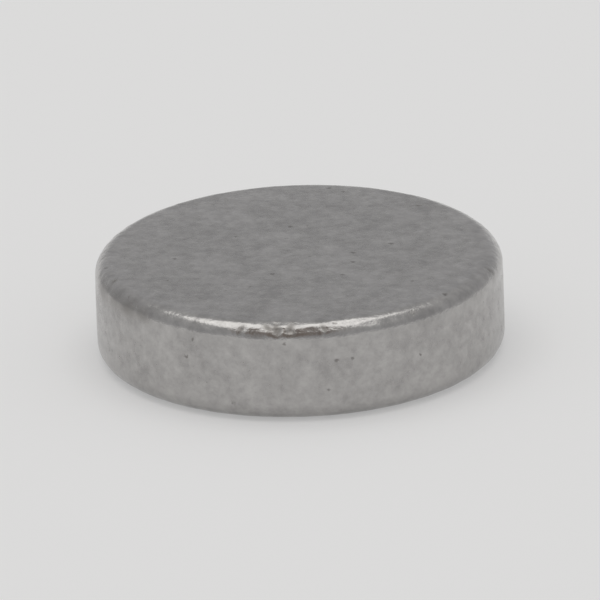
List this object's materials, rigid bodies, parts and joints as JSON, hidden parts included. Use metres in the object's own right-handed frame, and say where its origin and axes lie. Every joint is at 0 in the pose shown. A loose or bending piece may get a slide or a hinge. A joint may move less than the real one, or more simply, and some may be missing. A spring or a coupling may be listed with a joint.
{
  "type": "disc magnet",
  "caption": "Small flat round permanent magnet with tumbled edges and a satin nickel skin, magnetised through its thickness, for closures, fixtures and sensors.",
  "frame": {"origin": "centre of the lower pole face, on the disc's axis, on the surface it lies on", "axes": "+Z along the magnetic axis, from the lower pole face to the upper; X and Y lie in the pole face and are interchangeable"},
  "size_m": [0.004, 0.004, 0.001],
  "materials": {
    "nickel_plate": "satin nickel plate over a tumbled sintered blank: even fine grain, dull mirror, no polish"
  },
  "bodies": {
    "root": {"disc_magnet": "nickel_plate"}
  },
  "joints": []
}
